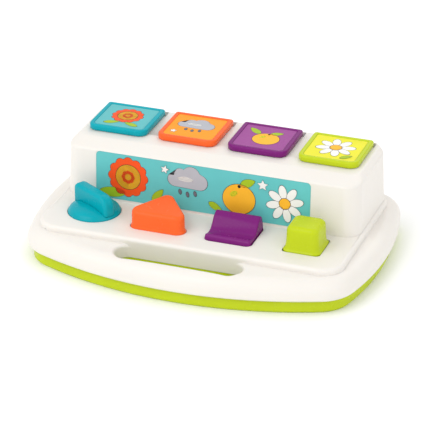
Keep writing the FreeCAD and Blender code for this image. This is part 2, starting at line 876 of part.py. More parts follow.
def rocker_key(column):
    """Key with a low lip in front, a hollow ramp and a high ridge, hinged on a pin near its back."""
    front = control_row - key_depth / 2
    back = control_row + key_depth / 2
    low = deck_top - 5
    points = [(front, low), (front, deck_top - 1.5), (front + 1.4, deck_top + 2.8),
              (front + 3.2, deck_top + key_lip_rise), (front + 5.6, deck_top + key_lip_rise),
              (front + 7.5, deck_top + 3.2), (front + 16, deck_top + 3.6),
              (front + 20.5, deck_top + 5.4), (back - 11.5, deck_top + key_ridge_rise - 0.8),
              (back - 9, deck_top + key_ridge_rise), (back - 7, deck_top + key_ridge_rise - 0.4),
              (back - 5, deck_top + key_ridge_rise - 2), (back - 0.8, deck_top), (back - 2, low)]
    body = side_profile(points, column - key_width / 2 - 1, column + key_width / 2 + 1)
    body = body.common(prism(control_outline("key", column, 0, low), key_ridge_rise + 8))
    cheek = rod(key_pin_radius + 2.6, vec(column - key_width / 2 + 2, key_pin_y, key_pin_z),
                vec(column + key_width / 2 - 2, key_pin_y, key_pin_z))
    web = box(column - key_width / 2 + 2, column + key_width / 2 - 2, key_pin_y - 3, key_pin_y + 3,
              key_pin_z, low + 1)
    tip = math.sin(math.radians(key_travel))
    slope = -(lever_throw() - (key_pin_z - lever_foot_height) * tip) / ((foot_y - key_pin_y) * tip)
    arm = slanted_arm(column, key_pin_y - 3, slope, lever_foot_height - 6, lever_foot_height + 4,
                      key_push_gap)
    drop = box(column - arm_width / 2, column + arm_width / 2, key_pin_y - 3, key_pin_y + 3,
               lever_foot_height - 6, key_pin_z)
    bore = rod(key_pin_radius + pin_clearance, vec(column - key_width, key_pin_y, key_pin_z),
               vec(column + key_width, key_pin_y, key_pin_z))
    return body.fuse([cheek, web, arm, drop]).cut(bore).removeSplitter()


def key_pin():
    reach = key_width / 2 + key_hole_gap + sleeve_wall
    return rod(key_pin_radius, vec(columns[2] - reach, key_pin_y, key_pin_z),
               vec(columns[2] + reach, key_pin_y, key_pin_z))


def dial_knob(column):
    """Domed disc on a stem, with a thick upright fin across it that falls towards one end."""
    low = deck_top - dial_sink + catch_gap
    edge = deck_top + dial_edge
    profile = Part.Wire([
        Part.makeLine(vec(0, 0, low), vec(dial_radius, 0, low)),
        Part.makeLine(vec(dial_radius, 0, low), vec(dial_radius, 0, edge)),
        Part.makeLine(vec(dial_radius, 0, edge), vec(dial_radius * 0.86, 0, edge + dial_crown * 0.42)),
        Part.makeLine(vec(dial_radius * 0.86, 0, edge + dial_crown * 0.42),
                      vec(dial_radius * 0.55, 0, edge + dial_crown * 0.83)),
        Part.makeLine(vec(dial_radius * 0.55, 0, edge + dial_crown * 0.83), vec(0, 0, edge + dial_crown)),
        Part.makeLine(vec(0, 0, edge + dial_crown), vec(0, 0, low)),
    ])
    disc = Part.Face(profile).revolve(vec(0, 0, 0), vec(0, 0, 1), 360)
    top = deck_top + dial_fin_height
    end = dial_radius - 1.6
    heel = dial_fin_heel
    nose = dial_fin_nose
    shoulder = top - dial_fin_fall
    fin = Part.Wire([
        Part.makeLine(vec(-end, 0, deck_top), vec(-end, 0, top - heel)),
        Part.Arc(vec(-end, 0, top - heel), vec(-end + 0.3 * heel, 0, top - 0.3 * heel),
                 vec(heel - end, 0, top)).toShape(),
        Part.makeLine(vec(heel - end, 0, top), vec(end - nose, 0, shoulder)),
        Part.Arc(vec(end - nose, 0, shoulder), vec(end - 0.29 * nose, 0, shoulder - 0.35 * nose),
                 vec(end, 0, shoulder - nose)).toShape(),
        Part.makeLine(vec(end, 0, shoulder - nose), vec(end, 0, deck_top)),
        Part.makeLine(vec(end, 0, deck_top), vec(-end, 0, deck_top)),
    ])
    half = dial_fin_thickness / 2
    blade = Part.Face(fin).extrude(vec(0, dial_fin_thickness, 0))
    blade.translate(vec(0, -half, 0))
    rims = edges_where(blade, lambda e: e.BoundBox.YLength < 0.01 and e.BoundBox.ZMax > deck_top + 5)
    blade = blade.makeChamfer(dial_fin_bevel, rims)
    blade = blade.common(rod(dial_radius - 0.6, vec(0, 0, low), vec(0, 0, top + 5)))
    stem = rod(dial_stem, vec(0, 0, cam_top), vec(0, 0, low + 1))
    knob = disc.fuse([blade, stem])
    knob = knob.cut(rod(screw_radius + 0.05, vec(0, 0, cam_top - 1),
                        vec(0, 0, cam_top + 9))).removeSplitter()
    knob.rotate(vec(0, 0, 0), vec(0, 0, 1), dial_fin_turn)
    knob.translate(vec(column, dial_y, 0))
    return knob


def dial_cam(column):
    """Spiral cam on the dial's stem: its edge moves out as the dial turns and pushes a lever's foot."""
    rest = foot_y - dial_y - lever_foot_radius - push_gap
    points = []
    for step in range(-1, 7):
        share = step * 0.2
        turn = math.radians(90 - share * dial_travel)
        radius = rest + lever_throw() * share
        points.append(vec(column + radius * math.cos(turn), dial_y + radius * math.sin(turn),
                          cam_top - cam_thickness))
    edge = Part.BSplineCurve()
    edge.interpolate(points)
    centre = vec(column, dial_y, cam_top - cam_thickness)
    outline = Part.Wire([edge.toShape(), Part.makeLine(points[-1], centre),
                         Part.makeLine(centre, points[0])])
    plate = prism(outline, cam_thickness)
    hub = rod(dial_stem + 3, centre, centre + vec(0, 0, cam_thickness))
    bore = rod(screw_radius + 0.3, centre - vec(0, 0, 1), centre + vec(0, 0, cam_thickness + 1))
    return plate.fuse(hub).cut(bore).removeSplitter()


def cam_screw(column):
    low = cam_top - cam_thickness
    head = rod(screw_head, vec(column, dial_y, low - head_height), vec(column, dial_y, low))
    return head.fuse(rod(screw_radius, vec(column, dial_y, low),
                         vec(column, dial_y, cam_top + 8))).removeSplitter()


def coil(radius, wire, turns, low, high, x, y):
    """Compression spring that stands on Z from low to high, its wire bent in short straight steps."""
    climb = high - low - 2 * wire
    steps = turns * spring_steps
    points = []
    for i in range(steps + 1):
        turn = 2 * math.pi * i / spring_steps
        points.append(vec(radius * math.cos(turn), radius * math.sin(turn), climb * i / steps))
    corners = []
    for i in range(6):
        turn = math.radians(60 * i)
        corners.append(vec(radius + wire * math.cos(turn), 0, wire * math.sin(turn)))
    section = Part.makePolygon(corners + corners[:1])
    spring = Part.makePolygon(points).makePipeShell([section], True, False, 1)
    spring.translate(vec(x, y, low + wire))
    return spring


def button_spring(column):
    """Return spring of a push button, between its seat on the base and the hollow in the button's post."""
    return coil(spring_seat + 0.6, spring_wire, spring_turns, floor_thickness + spring_foot_gap,
                deck_top - arm_drop + spring_hollow - 0.2, column, control_row)


lid_names = ["teal", "orange", "purple", "lime"]
animals = ["cat", "rabbit", "mouse", "frog"]


def build():
    parts = {
        "top_housing": top_housing(),
        "base_plate": base_plate(),
        "front_label": front_label(),
        "base_screws": base_screws(),
        "catch_shaft": catch_shaft(),
        "lid_hinge_pins": lid_hinge_pins(),
        "dial_knob": dial_knob(columns[0]),
        "dial_cam": dial_cam(columns[0]),
        "dial_cam_screw": cam_screw(columns[0]),
        "triangle_button": triangle_button(columns[1]),
        "rocker_key": rocker_key(columns[2]),
        "rocker_pin": key_pin(),
        "cube_button": cube_button(columns[3]),
        "triangle_spring": button_spring(columns[1]),
        "cube_spring": button_spring(columns[3]),
    }
    for name, animal, column in zip(lid_names, animals, columns):
        parts["lid_" + name] = lid(column)
        parts["lid_picture_" + name] = lid_picture(column)
        parts["figure_" + animal] = figure(animal, column)
        parts["catch_lever_" + name] = catch_lever(column)
    return parts


for name, shape in build().items():
    if not shape.isValid():
        print("not valid", name)
    shape.exportStep("parts/" + name + ".step")
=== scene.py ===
import bpy
import bmesh
import math
from mathutils import Matrix, Vector


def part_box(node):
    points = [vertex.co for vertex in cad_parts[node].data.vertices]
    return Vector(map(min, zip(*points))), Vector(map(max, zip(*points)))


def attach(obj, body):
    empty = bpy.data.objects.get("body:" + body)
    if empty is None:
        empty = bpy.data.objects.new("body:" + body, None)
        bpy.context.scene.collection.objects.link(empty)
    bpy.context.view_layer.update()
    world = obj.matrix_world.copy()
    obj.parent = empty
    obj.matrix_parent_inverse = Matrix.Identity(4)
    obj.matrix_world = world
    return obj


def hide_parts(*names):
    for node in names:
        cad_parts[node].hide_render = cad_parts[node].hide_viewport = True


# Pop up animal toy, standing on a white table top.
# The CAD frame gives the places; this script makes what is seen.

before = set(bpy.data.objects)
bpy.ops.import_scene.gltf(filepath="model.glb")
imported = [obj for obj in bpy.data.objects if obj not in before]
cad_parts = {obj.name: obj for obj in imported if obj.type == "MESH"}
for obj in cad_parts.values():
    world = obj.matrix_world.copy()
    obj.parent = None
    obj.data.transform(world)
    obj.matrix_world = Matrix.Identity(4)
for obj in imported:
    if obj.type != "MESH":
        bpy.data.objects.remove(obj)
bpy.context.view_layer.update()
mm = 0.001

colours = {
    "white": (0.80, 0.765, 0.715),
    "lime": (0.50, 0.60, 0.012),
    "teal": (0.0, 0.36, 0.43),
    "orange": (0.93, 0.13, 0.025),
    "purple": (0.19, 0.012, 0.17),
    "aqua": (0.13, 0.53, 0.53),
    "cardTeal": (0.12, 0.48, 0.50),
    "cardOrange": (0.95, 0.33, 0.015),
    "cardPurple": (0.33, 0.07, 0.29),
    "cardYellow": (0.80, 0.76, 0.03),
    "petal": (0.88, 0.09, 0.015),
    "honey": (0.93, 0.47, 0.03),
    "grey": (0.45, 0.46, 0.50),
    "darkGrey": (0.15, 0.16, 0.19),
    "paper": (0.86, 0.85, 0.82),
    "ink": (0.035, 0.028, 0.03),
    "leaf": (0.36, 0.52, 0.02),
    "frog": (0.09, 0.33, 0.04),
    "steel": (0.62, 0.62, 0.64),
}


# Materials

def addNode(tree, kind, **values):
    node = tree.nodes.new(kind)
    for name, value in values.items():
        if hasattr(node, name):
            setattr(node, name, value)
        else:
            node.inputs[name.replace("_", " ")].default_value = value
    return node


def speckle(tree, source, scale, detail):
    noise = addNode(tree, "ShaderNodeTexNoise")
    noise.inputs["Scale"].default_value = scale
    noise.inputs["Detail"].default_value = detail
    tree.links.new(source, noise.inputs["Vector"])
    return noise.outputs["Fac"]


def remap(tree, source, low, high):
    node = addNode(tree, "ShaderNodeMapRange")
    node.inputs["From Min"].default_value = 0.3
    node.inputs["From Max"].default_value = 0.7
    node.inputs["To Min"].default_value = low
    node.inputs["To Max"].default_value = high
    tree.links.new(source, node.inputs["Value"])
    return node.outputs["Result"]


edgeWear = {"from": 0.53, "to": 0.66, "brighten": 1.25, "lift": 0.04}
glossSpread = (0.85, 1.2)
grainDepth = 0.00004


# Moulded or printed surface: slow colour drift, uneven gloss, fine texture and softened edges
def makeMaterial(name, colour, finish):
    material = bpy.data.materials.new(name)
    material.use_nodes = True
    tree = material.node_tree
    shader = tree.nodes["Principled BSDF"]
    place = addNode(tree, "ShaderNodeTexCoord").outputs["Object"]
    spread = finish["drift"]
    drift = remap(tree, speckle(tree, place, finish["driftScale"], 3), 1 - spread, 1 + spread)
    tint = addNode(tree, "ShaderNodeMixRGB", blend_type="MULTIPLY")
    tint.inputs["Fac"].default_value = 1
    tint.inputs["Color1"].default_value = (*colour, 1)
    tree.links.new(drift, tint.inputs["Color2"])
    worn = addNode(tree, "ShaderNodeMixRGB", blend_type="MIX")
    pale = [min(1, part * edgeWear["brighten"] + edgeWear["lift"]) for part in colour]
    worn.inputs["Color2"].default_value = (*pale, 1)
    edge = addNode(tree, "ShaderNodeMapRange")
    edge.inputs["From Min"].default_value = edgeWear["from"]
    edge.inputs["From Max"].default_value = edgeWear["to"]
    edge.inputs["To Max"].default_value = finish["edge"]
    tree.links.new(addNode(tree, "ShaderNodeNewGeometry").outputs["Pointiness"], edge.inputs["Value"])
    tree.links.new(edge.outputs["Result"], worn.inputs["Fac"])
    tree.links.new(tint.outputs["Color"], worn.inputs["Color1"])
    tree.links.new(worn.outputs["Color"], shader.inputs["Base Color"])
    smooth, dull = [finish["rough"] * share for share in glossSpread]
    gloss = remap(tree, speckle(tree, place, finish["glossScale"], 4), smooth, dull)
    tree.links.new(gloss, shader.inputs["Roughness"])
    soft = addNode(tree, "ShaderNodeBevel", samples=4)
    soft.inputs["Radius"].default_value = finish["soften"]
    bump = addNode(tree, "ShaderNodeBump")
    bump.inputs["Strength"].default_value = finish["bump"]
    bump.inputs["Distance"].default_value = grainDepth
    tree.links.new(speckle(tree, place, finish["grain"], 2), bump.inputs["Height"])
    tree.links.new(soft.outputs["Normal"], bump.inputs["Normal"])
    tree.links.new(bump.outputs["Normal"], shader.inputs["Normal"])
    shader.inputs["Metallic"].default_value = finish.get("metallic", 0.0)
    shader.inputs["Specular IOR Level"].default_value = finish.get("specular", 0.45)
    shader.inputs["Subsurface Weight"].default_value = finish.get("glow", 0.0)
    shader.inputs["Subsurface Radius"].default_value = (0.004, 0.003, 0.002)
    shader.inputs["Subsurface Scale"].default_value = 0.5
    return material


satin = {"drift": 0.012, "driftScale": 14, "rough": 0.42, "glossScale": 160, "bump": 0.08, "grain": 1500,
         "soften": 0.0007, "edge": 0.25, "glow": 0.06, "specular": 0.4}
glossy = {"drift": 0.03, "driftScale": 30, "rough": 0.24, "glossScale": 220, "bump": 0.05, "grain": 1300,
          "soften": 0.0006, "edge": 0.3, "specular": 0.14}
printed = {"drift": 0.03, "driftScale": 60, "rough": 0.38, "glossScale": 400, "bump": 0.08, "grain": 5200,
           "soften": 0.0001, "edge": 0.0, "specular": 0.14}
metal = {"drift": 0.05, "driftScale": 90, "rough": 0.28, "glossScale": 700, "bump": 0.2, "grain": 3800,
         "soften": 0.0002, "edge": 0.2, "metallic": 1.0}

inks = ("aqua", "cardTeal", "cardOrange", "cardPurple", "cardYellow", "petal", "honey", "grey", "darkGrey",
        "paper", "ink", "leaf")
looks = {"white": makeMaterial("white", colours["white"], satin)}
for name in ("lime", "teal", "orange", "purple"):
    looks[name] = makeMaterial(name, colours[name], glossy)
for name in inks:
    looks[name] = makeMaterial(name, colours[name], printed)
for tone in ("frog", "honey", "grey", "ink", "paper"):
    looks[tone + "Plastic"] = makeMaterial(tone + "Plastic", colours[tone], glossy)
looks["steel"] = makeMaterial("steel", colours["steel"], metal)
print("materials", len(looks))


# Mesh helpers

def arcPoints(cx, cy, radius, start, end, steps):
    points = []
    for i in range(steps + 1):
        turn = math.radians(start + (end - start) * i / steps)
        points.append((cx + radius * math.cos(turn), cy + radius * math.sin(turn)))
    return points


def roundedRing(x0, x1, y0, y1, frontRadius, backRadius, steps=8):
    ring = arcPoints(x1 - frontRadius, y0 + frontRadius, frontRadius, -90, 0, steps)
    ring += arcPoints(x1 - backRadius, y1 - backRadius, backRadius, 0, 90, steps)
    ring += arcPoints(x0 + backRadius, y1 - backRadius, backRadius, 90, 180, steps)
    ring += arcPoints(x0 + frontRadius, y0 + frontRadius, frontRadius, 180, 270, steps)
    return ring


def finishMesh(name, mesh, material, angle=40):
    mesh.materials.append(looks[material])
    for face in mesh.polygons:
        face.use_smooth = True
    mesh.set_sharp_from_angle(angle=math.radians(angle))
    piece = bpy.data.objects.new(name, mesh)
    bpy.context.scene.collection.objects.link(piece)
    return piece


# Closed skin through rings of equally many points, capped flat at both ends
def ringStack(name, rings, material, angle=40, scale=mm):
    count = len(rings[0])
    points = [tuple(c * scale for c in point) for ring in rings for point in ring]
    faces = [list(range(count))[::-1], [count * (len(rings) - 1) + i for i in range(count)]]
    for level in range(len(rings) - 1):
        base = level * count
        for i in range(count):
            after = (i + 1) % count
            faces.append([base + i, base + after, base + count + after, base + count + i])
    mesh = bpy.data.meshes.new(name)
    mesh.from_pydata(points, [], faces)
    mesh.update()
    return finishMesh(name, mesh, material, angle)


# Flat outline drawn up from low to high, put in place by a matrix, its edges rounded
def slab(name, outline, low, high, material, place=None, edge=0.0, segments=4, scale=mm):
    rings = [[(x, y, z) for x, y in outline] for z in (low, high)]
    piece = ringStack(name, rings, material, 30, scale)
    if place is not None:
        piece.data.transform(place)
    if edge > 0:
        roundEdges(piece, edge, segments)
    return piece


def roundEdges(piece, width, segments):
    bevel = piece.modifiers.new("rounding", "BEVEL")
    bevel.width = width * mm
    bevel.segments = segments
    bevel.limit_method = "ANGLE"
    bevel.angle_limit = math.radians(38)
    bevel.harden_normals = True


# One object out of several, each with its modifiers worked in
def join(name, pieces):
    graph = bpy.context.evaluated_depsgraph_get()
    whole = bmesh.new()
    materials = []
    for piece in pieces:
        mesh = bpy.data.meshes.new_from_object(piece.evaluated_get(graph))
        mesh.transform(piece.matrix_world)
        shift = []
        for material in mesh.materials:
            if material not in materials:
                materials.append(material)
            shift.append(materials.index(material))
        for face in mesh.polygons:
            face.material_index = shift[face.material_index]
        whole.from_mesh(mesh)
        bpy.data.objects.remove(piece)
    mesh = bpy.data.meshes.new(name)
    whole.to_mesh(mesh)
    whole.free()
    for material in materials:
        mesh.materials.append(material)
    mesh.set_sharp_from_angle(angle=math.radians(40))
    piece = bpy.data.objects.new(name, mesh)
    bpy.context.scene.collection.objects.link(piece)
    return piece


# Insets and heights of a rounded edge that ends at the given top
def quarter(inset, top, radius, steps=6):
    pairs = []
    for i in range(steps + 1):
        turn = math.radians(90 * i / steps)
        pairs.append((inset + radius * (1 - math.cos(turn)), top - radius * (1 - math.sin(turn))))
    return pairs


# The CAD node's own form, shaded smooth where its faces run into each other
def smoothCopy(node, name, material, slotName, body="housing"):
    source = bpy.data.objects.get(node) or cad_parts[node]
    mesh = source.data.copy()
    mesh.materials.clear()
    work = bmesh.new()
    work.from_mesh(mesh)
    bmesh.ops.remove_doubles(work, verts=work.verts, dist=0.000004)
    bmesh.ops.dissolve_limit(work, angle_limit=math.radians(0.4), verts=work.verts, edges=work.edges)
    work.to_mesh(mesh)
    work.free()
    piece = finishMesh(name, mesh, material, 32)
    weighted = piece.modifiers.new("even shading", "WEIGHTED_NORMAL")
    weighted.keep_sharp = True
    weighted.weight = 90
    settle(piece, body, slotName, node)
    return piece


# The CAD node's own form below a height, to stand under a crown made here
def underPart(node, cutHeight, material):
    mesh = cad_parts[node].data.copy()
    mesh.materials.clear()
    work = bmesh.new()
    work.from_mesh(mesh)
    bmesh.ops.remove_doubles(work, verts=work.verts, dist=0.000004)
    cut = bmesh.ops.bisect_plane(work, geom=work.verts[:] + work.edges[:] + work.faces[:], dist=1e-7,
                                 plane_co=(0, 0, cutHeight * mm), plane_no=(0, 0, 1), clear_outer=True)
    rims = [part for part in cut["geom_cut"] if isinstance(part, bmesh.types.BMEdge)]
    bmesh.ops.triangle_fill(work, use_beauty=True, edges=rims)
    work.to_mesh(mesh)
    work.free()
    return finishMesh(node + "_under", mesh, material, 32)


def settle(piece, body, slotName, *nodes):
    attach(piece, body)
    if nodes:
        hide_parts(*nodes)


# Mouldings of the housing

smoothCopy("top_housing", "housing_shell", "white", "white_plastic")
smoothCopy("base_plate", "base_tray", "lime", "lime_plastic")
print("housing and base")


# Lids, left to right

lidSettings = {
    "rim": 4.6, "recess": 1.1, "round": 1.8, "frontCorner": 9.0, "backCorner": 3.0, "thickness": 5.8,
    "underRound": 0.5, "underWidth": 6.0, "leastCorner": 0.8, "rimLand": 0.9, "rimSlope": 0.45,
    "rimDrop": 0.5, "cardLand": 3.0,
    "hookWidth": 8.0, "hookDrop": 9.0, "hookStep": 2.6, "hookHeight": 2.6, "hookFrom": 5.8,
    "hookThick": 2.2,
    "earThick": 2.6, "earRadius": 3.6, "earOut": 25.4, "hingeBack": 5.2, "hingeDrop": 10.3,
}
lidKinds = [("teal", "cat"), ("orange", "rabbit"), ("purple", "mouse"), ("lime", "frog")]


def lidShell(tone):
    s = lidSettings
    low, high = [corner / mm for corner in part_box("lid_" + tone)]
    x0, x1, y0, y1 = low.x, high.x, low.y, high.y
    top = high.z
    bottom = top - s["thickness"]
    under = s["underRound"]
    steps = [(s["rim"] + s["underWidth"], bottom), (under, bottom), (0.0, bottom + under)]
    steps += quarter(0.0, top, s["round"])
    inner = s["rim"] - s["rimLand"]
    floor = top - s["recess"]
    steps += [(inner, top), (inner + s["rimSlope"], top - 0.12), (inner + 0.8, top - s["rimDrop"]),
              (s["rim"], floor), (s["rim"] + s["cardLand"], floor)]
    rings = []
    for inset, z in steps:
        frontCorner = max(s["frontCorner"] - inset, s["leastCorner"])
        backCorner = max(s["backCorner"] - inset, s["leastCorner"])
        ring = roundedRing(x0 + inset, x1 - inset, y0 + inset, y1 - inset, frontCorner, backCorner)
        rings.append([(x, y, z) for x, y in ring])
    shell = ringStack("lid_shell_" + tone, rings, tone, 50)
    middle = (x0 + x1) / 2
    hingeY = y1 - s["hingeBack"]
    hingeZ = top - s["hingeDrop"]
    added = []
    for side in (-1, 1):
        a = middle + side * s["earOut"]
        b = a - side * s["earThick"]
        outline = arcPoints(hingeY, hingeZ, s["earRadius"], 180, 360, 16)
        outline += [(hingeY + s["earRadius"], bottom + 0.6), (hingeY - s["earRadius"], bottom + 0.6)]
        rings = [[(x, y, z) for y, z in outline] for x in (min(a, b), max(a, b))]
        ear = ringStack("ear", rings, tone, 30)
        roundEdges(ear, 0.4, 2)
        added.append(ear)
    front = y0 + s["hookFrom"]
    deep = bottom - s["hookDrop"]
    back = front + s["hookThick"]
    nose = front - s["hookStep"]
    profile = [(front, bottom + 0.5), (front, deep + s["hookHeight"]),
               (nose, deep + s["hookHeight"] * 0.75),
               (nose, deep + 1.0), (nose + 1.0, deep), (back, deep), (back, bottom + 0.5)]
    half = s["hookWidth"] / 2
    rings = [[(x, y, z) for y, z in profile] for x in (middle - half, middle + half)]
    hook = ringStack("hook", rings, tone, 30)
    roundEdges(hook, 0.3, 2)
    added.append(hook)
    whole = join("lid_shell_" + tone + "_whole", [shell] + added)
    settle(whole, "lid_" + tone + "_group", tone + "_plastic", "lid_" + tone)


for tone, animal in lidKinds:
    lidShell(tone)
print("lids")


# Printed motifs

def circle(cx, cy, radius, steps=40):
    return arcPoints(cx, cy, radius, 0, 360 - 360 / steps, steps - 1)


def oval(cx, cy, a, b, turn=0.0, steps=40):
    points = []
    c, s = math.cos(math.radians(turn)), math.sin(math.radians(turn))
    for i in range(steps):
        t = 2 * math.pi * i / steps
        x, y = a * math.cos(t), b * math.sin(t)
        points.append((cx + x * c - y * s, cy + x * s + y * c))
    return points


def scalloped(cx, cy, radius, lobes, depth, steps=9):
    points = []
    for i in range(lobes * steps):
        t = 2 * math.pi * i / (lobes * steps)
        r = radius - depth + depth * abs(math.cos(lobes * t / 2)) ** 0.7
        points.append((cx + r * math.cos(t), cy + r * math.sin(t)))
    return points


def star(cx, cy, outer, inner, tips, turn=90.0):
    points = []
    for i in range(tips * 2):
        r = outer if i % 2 == 0 else inner
        t = math.radians(turn + 180 * i / tips)
        points.append((cx + r * math.cos(t), cy + r * math.sin(t)))
    return points


# Cloud outline: one flat foot and four bumps
def cloud(cx, cy, size):
    bumps = [(-1.05, 0.0, 0.55, 90, 270), (0.95, 0.0, 0.62, -90, 70), (0.25, 0.45, 0.72, 20, 150),
             (-0.6, 0.42, 0.52, 60, 190)]
    points = []
    for bx, by, r, start, end in (bumps[1], bumps[2], bumps[3], bumps[0]):
        points += arcPoints(cx + bx * size, cy + by * size, r * size, start, end, 10)
    return points


def leafShape(cx, cy, length, width, turn):
    points = []
    c, s = math.cos(math.radians(turn)), math.sin(math.radians(turn))
    for i in range(24):
        t = 2 * math.pi * i / 24
        x = length / 2 * math.cos(t)
        y = width / 2 * math.sin(t) * (1 - 0.25 * math.cos(t)) * abs(math.sin(t)) ** 0.35
        points.append((cx + x * c - y * s, cy + x * s + y * c))
    return points


# The same outline pushed outwards from its middle, for the dark line round a motif
def outlined(points, grow):
    cx = sum(p[0] for p in points) / len(points)
    cy = sum(p[1] for p in points) / len(points)
    far = max(math.hypot(x - cx, y - cy) for x, y in points)
    return [(cx + (x - cx) * (1 + grow / far), cy + (y - cy) * (1 + grow / far)) for x, y in points]


inkSettings = {"step": 0.012, "thickness": 0.01}


# Flat inks one over another on a card; a layer with a line has a dark, larger copy below
def printLayers(name, layers, place, ink=0.45, body="housing", slotName="printed_card_aqua"):
    pieces = []
    level = 0
    for points, tone, line in layers:
        if line:
            level += 1
            low = inkSettings["step"] * level
            high = low + inkSettings["thickness"]
            pieces.append(slab(name + "_line", outlined(points, ink), low, high, "ink", place))
        level += 1
        low = inkSettings["step"] * level
        pieces.append(slab(name + "_ink", points, low, low + inkSettings["thickness"], tone, place))
    whole = join(name, pieces)
    settle(whole, body, slotName)


def flower(cx, cy, size, petalTone, heartTone, petals=12):
    return [(scalloped(cx, cy, size, petals, size * 0.13), petalTone, True),
            (circle(cx, cy, size * 0.62), heartTone, True),
            (scalloped(cx, cy, size * 0.34, 8, size * 0.05), petalTone, False),
            (circle(cx, cy, size * 0.16), heartTone, False)]


def daisy(cx, cy, size, petalTone, heartTone, petals=8):
    layers = []
    for i in range(petals):
        turn = 360 * i / petals + 12
        r = size * 0.64
        x = cx + r * math.cos(math.radians(turn))
        y = cy + r * math.sin(math.radians(turn))
        layers.append((oval(x, y, size * 0.38, size * 0.21, turn), petalTone, True))
    layers.append((circle(cx, cy, size * 0.3), heartTone, True))
    return layers


def rainCloud(cx, cy, size):
    layers = [(cloud(cx, cy, size), "grey", True)]
    layers.append((oval(cx - 0.2 * size, cy + 0.12 * size, size * 0.62, size * 0.2), "paper", False))
    for i in range(3):
        x = cx + (i - 1) * size * 0.6
        y = cy - size * (0.95 + 0.14 * (i % 2))
        layers.append((oval(x, y, size * 0.12, size * 0.2, 12), "darkGrey", True))
    return layers


def fruit(cx, cy, size):
    return [(leafShape(cx + size * 0.52, cy + size * 1.08, size * 0.95, size * 0.5, 24), "leaf", True),
            (oval(cx, cy, size, size * 0.93), "honey", True),
            (oval(cx - size * 0.33, cy + size * 0.3, size * 0.26, size * 0.16, 35), "cardYellow", False),
            (circle(cx, cy + size * 0.8, size * 0.1), "ink", False)]


# Front label

labelSettings = {"width": 213.0, "height": 46.5, "corner": 4.0, "thickness": 0.3, "lean": (2.4, 50.0)}


# Place of the label's middle on the leaning wall: its own X along the toy, Y up the wall
def labelFrame():
    low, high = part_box("front_label")
    lean = math.atan2(*labelSettings["lean"])
    side = Vector((1, 0, 0))
    up = Vector((0, math.sin(lean), math.cos(lean)))
    out = side.cross(up)
    middle = (low + high) / 2 + out * labelSettings["thickness"] * mm / 2
    frameMatrix = Matrix((side, up, out)).transposed().to_4x4()
    frameMatrix.translation = middle
    return frameMatrix


def frontLabel():
    s = labelSettings
    place = labelFrame()
    w, h = s["width"] / 2, s["height"] / 2
    outline = roundedRing(-w, w, -h, h, s["corner"], s["corner"])
    card = slab("label_card", outline, -s["thickness"], 0, "aqua", place)
    settle(card, "housing", "printed_card_aqua", "front_label")
    layers = []
    layers += [(oval(-90, -16.5, 13, 5.0, 4), "leaf", True)]
    layers += flower(-74, 1.0, 20.0, "petal", "honey")
    layers += [(leafShape(-44, -13, 17, 7.5, 52), "leaf", True)]
    layers += rainCloud(-14, 6.5, 12.5)
    layers += [(leafShape(14, -15, 15, 6.5, -28), "leaf", True)]
    layers += fruit(37, -3.5, 16.0)
    layers += [(star(60, 14, 5.4, 2.6, 5), "paper", True)]
    layers += daisy(82, -1.0, 18, "paper", "honey")
    layers += [(star(-37, 15, 4.2, 2.0, 5, 78), "paper", True)]
    printLayers("label_print", layers, place)


frontLabel()


# Lid pictures

cardSettings = {"inset": 0.05, "frontCorner": 4.4, "backCorner": 1.5}
cardTones = {"teal": "cardTeal", "orange": "cardOrange", "purple": "cardPurple", "lime": "cardYellow"}


def cardMotif(tone):
    if tone == "teal":
        return flower(0, 3, 15.5, "petal", "honey") + [(leafShape(-10, -15, 15, 6, 20), "leaf", True),
                                                       (leafShape(10, -15, 15, 6, 160), "leaf", True)]
    if tone == "orange":
        return rainCloud(0, 4, 11.5) + [(star(-17, -14, 3.6, 1.7, 5), "paper", True)]
    if tone == "purple":
        return [(leafShape(-13, 12, 16, 7, 140), "leaf", True)] + fruit(2, -3, 13.0)
    return daisy(0, 1, 18.5, "paper", "honey") + [(leafShape(15, -16, 12, 5.5, 40), "leaf", True)]


for tone, animal in lidKinds:
    low, high = [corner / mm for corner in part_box("lid_picture_" + tone)]
    inset = cardSettings["inset"]
    outline = roundedRing(low.x + inset, high.x - inset, low.y + inset, high.y - inset,
                          cardSettings["frontCorner"], cardSettings["backCorner"])
    group = "lid_" + tone + "_group"
    slotName = "printed_card_" + ("yellow" if tone == "lime" else tone)
    card = slab("card_" + tone, outline, low.z, high.z, cardTones[tone])
    settle(card, group, slotName, "lid_picture_" + tone)
    place = Matrix.Translation(Vector(((low.x + high.x) / 2, (low.y + high.y) / 2, high.z)) * mm)
    printLayers("card_print_" + tone, cardMotif(tone), place, 0.5, group, slotName)
print("label and pictures")


# Controls on the deck

deckTop = 39.4
controlRow = -34.5
columns = [-105.0, -35.0, 35.0, 105.0]
buttonDepth = 8.0
underTop = deckTop - 7.8

triangleSettings = {"width": 54.0, "depth": 40.0, "corner": 8.5, "shift": -1.5, "frontRise": 16.5,
                    "backRise": 22.0, "round": 3.6}


def triangleRing(inset, column):
    s = triangleSettings
    x = s["width"] / 2 - s["corner"]
    front = controlRow - s["depth"] / 2 + s["shift"]
    y = front + s["corner"]
    tip = front + s["depth"] - s["corner"]
    slope = math.degrees(math.atan2(tip - y, -x)) - 90
    radius = s["corner"] - inset
    ring = arcPoints(column + x, y, radius, -90, slope, 12)
    ring += arcPoints(column, tip, radius, slope, 180 - slope, 12)
    ring += arcPoints(column - x, y, radius, 180 - slope, 270, 12)
    return ring


